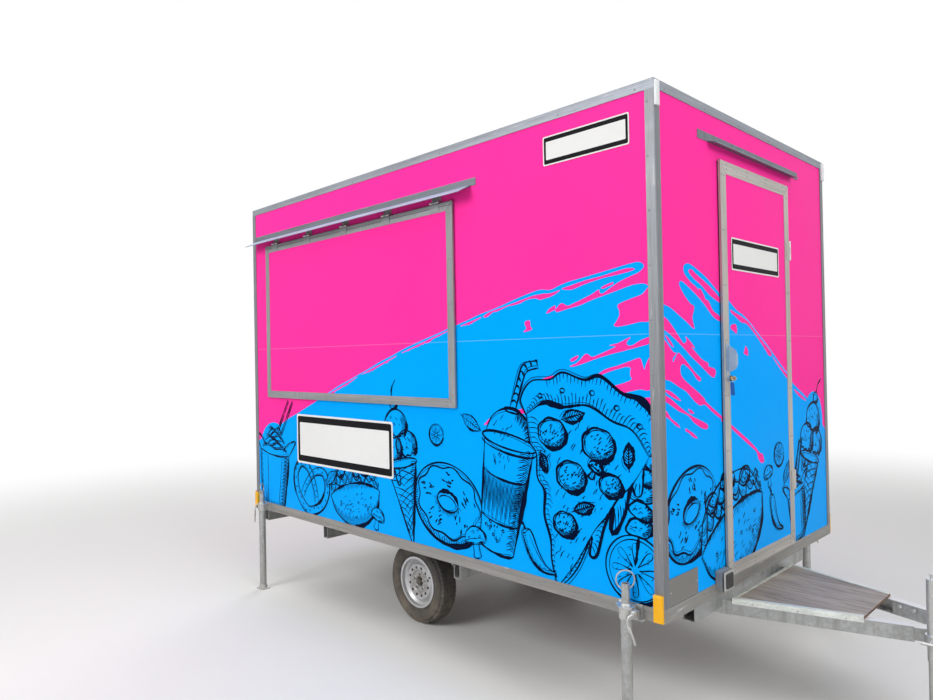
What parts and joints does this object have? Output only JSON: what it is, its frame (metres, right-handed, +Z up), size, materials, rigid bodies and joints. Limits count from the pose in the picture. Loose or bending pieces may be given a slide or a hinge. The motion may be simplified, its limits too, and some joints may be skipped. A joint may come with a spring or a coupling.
{
  "type": "catering trailer",
  "caption": "Box trailer for serving food: sandwich-panel body with a top-hung serving hatch, a front door over a step deck, an A-frame drawbar, prop stands and a jockey wheel.",
  "frame": {"origin": "on the ground, at the middle of the overall length and of the body's width", "axes": "+X forwards to the coupling, +Y to the left side, +Z up; the serving hatch is on the -Y side"},
  "size_m": [4.875, 2.1786, 2.88],
  "materials": {
    "wrapped_panel": "satin",
    "floor_board": "matte",
    "aluminium_profile": "satin",
    "galvanised_steel": "satin",
    "zinc_plate": "polished",
    "deck_board": "matte",
    "black_rubber": "matte",
    "black_coupling": "satin",
    "tyre_rubber": "matte",
    "silver_rim": "satin",
    "amber_lens": "gloss",
    "clear_lens": "gloss",
    "red_lens": "gloss",
    "grey_plastic": "satin",
    "black_strut": "satin",
    "bright_rod": "polished"
  },
  "bodies": {
    "trailer": {"floor_panel": "floor_board", "roof_panel": "wrapped_panel", "wall_left": "wrapped_panel", "wall_right": "wrapped_panel", "wall_front": "wrapped_panel", "wall_rear": "wrapped_panel", "floor_edge_rail": "aluminium_profile", "roof_edge_rail": "aluminium_profile", "corner_posts": "aluminium_profile", "hatch_jamb": "aluminium_profile", "door_jamb": "aluminium_profile", "rain_gutters": "aluminium_profile", "hatch_hinges": "zinc_plate", "door_hinges": "zinc_plate", "chassis_frame": "galvanised_steel", "drawbar_beams": "galvanised_steel", "deck_edge_angles": "aluminium_profile", "step_deck": "deck_board", "overrun_coupling": "galvanised_steel", "coupling_gaiter": "black_rubber", "coupling_head": "zinc_plate", "handbrake_lever": "zinc_plate", "axle_beam": "galvanised_steel", "axle_arms": "galvanised_steel", "prop_clamps": "zinc_plate", "jockey_clamp": "zinc_plate", "jockey_outer": "zinc_plate", "side_markers": "amber_lens", "clearance_lamps": "clear_lens", "rear_lamps": "red_lens", "inlet_box": "grey_plastic"},
    "hatch": {"hatch_frame": "aluminium_profile", "hatch_panel": "wrapped_panel"},
    "door": {"door_frame": "aluminium_profile", "door_panel": "wrapped_panel", "door_latch": "zinc_plate"},
    "wheel_left": {"tyre_left": "tyre_rubber", "rim_left": "silver_rim", "brake_drum_left": "black_coupling"},
    "wheel_right": {"tyre_right": "tyre_rubber", "rim_right": "silver_rim", "brake_drum_right": "black_coupling"},
    "prop_front_left": {"prop_front_left": "galvanised_steel"},
    "prop_front_right": {"prop_front_right": "galvanised_steel"},
    "prop_rear_left": {"prop_rear_left": "galvanised_steel"},
    "prop_rear_right": {"prop_rear_right": "galvanised_steel"},
    "jockey_tube": {"jockey_inner": "zinc_plate"},
    "jockey_fork": {"jockey_fork": "zinc_plate"},
    "jockey_wheel": {"jockey_wheel": "black_rubber"},
    "strut_barrel_front": {"strut_barrel_front": "black_strut"},
    "strut_barrel_rear": {"strut_barrel_rear": "black_strut"},
    "strut_rod_front": {"strut_rod_front": "bright_rod"},
    "strut_rod_rear": {"strut_rod_rear": "bright_rod"}
  },
  "joints": [
    {"name": "wheel_left_roll", "type": "hinge", "parent": "trailer", "child": "wheel_left", "pos_m": [-0.84754, 0.6425, 0.261], "axis": [0, 1, 0], "continuous": true},
    {"name": "wheel_right_roll", "type": "hinge", "parent": "trailer", "child": "wheel_right", "pos_m": [-0.84754, -0.6425, 0.261], "axis": [0, 1, 0], "continuous": true},
    {"name": "hatch_hinge", "type": "hinge", "parent": "trailer", "child": "hatch", "pos_m": [-1.14754, -1.014, 2.579], "axis": [-1, 0, 0], "range_deg": [0, 85]},
    {"name": "door_hinge", "type": "hinge", "parent": "trailer", "child": "door", "pos_m": [1.12146, 0.409, 1.6405], "axis": [0, 0, 1], "range_deg": [0, 170]},
    {"name": "prop_front_left_slide", "type": "slide", "parent": "trailer", "child": "prop_front_left", "axis": [0, 0, 1], "range_m": [0, 0.35]},
    {"name": "prop_front_right_slide", "type": "slide", "parent": "trailer", "child": "prop_front_right", "axis": [0, 0, 1], "range_m": [0, 0.35]},
    {"name": "prop_rear_left_slide", "type": "slide", "parent": "trailer", "child": "prop_rear_left", "axis": [0, 0, 1], "range_m": [0, 0.35]},
    {"name": "prop_rear_right_slide", "type": "slide", "parent": "trailer", "child": "prop_rear_right", "axis": [0, 0, 1], "range_m": [0, 0.35]},
    {"name": "jockey_slide", "type": "slide", "parent": "trailer", "child": "jockey_tube", "axis": [0, 0, 1], "range_m": [0, 0.165]},
    {"name": "jockey_swivel", "type": "hinge", "parent": "jockey_tube", "child": "jockey_fork", "pos_m": [1.88814, -0.17215, 0.2], "axis": [0, 0, 1], "continuous": true},
    {"name": "jockey_roll", "type": "hinge", "parent": "jockey_fork", "child": "jockey_wheel", "pos_m": [1.85014, -0.17215, 0.1], "axis": [0, 1, 0], "continuous": true},
    {"name": "strut_front_turn", "type": "hinge", "parent": "trailer", "child": "strut_barrel_front", "pos_m": [-0.16254, -0.945, 2.479], "axis": [-1, 0, 0], "range_deg": [0, 90.2]},
    {"name": "strut_front_stroke", "type": "slide", "parent": "strut_barrel_front", "child": "strut_rod_front", "axis": [0, -0.0167, -0.9999], "range_m": [0, 0.1639]},
    {"name": "strut_rear_turn", "type": "hinge", "parent": "trailer", "child": "strut_barrel_rear", "pos_m": [-2.13254, -0.945, 2.479], "axis": [-1, 0, 0], "range_deg": [0, 90.2]},
    {"name": "strut_rear_stroke", "type": "slide", "parent": "strut_barrel_rear", "child": "strut_rod_rear", "axis": [0, -0.0167, -0.9999], "range_m": [0, 0.1639]}
  ],
  "couplings": [
    {"joint": "strut_front_turn", "follows": "hatch_hinge", "ratio": 1.0496},
    {"joint": "strut_front_stroke", "follows": "hatch_hinge", "m_per_rad": 0.1091},
    {"joint": "strut_rear_turn", "follows": "hatch_hinge", "ratio": 1.0496},
    {"joint": "strut_rear_stroke", "follows": "hatch_hinge", "m_per_rad": 0.1091}
  ]
}
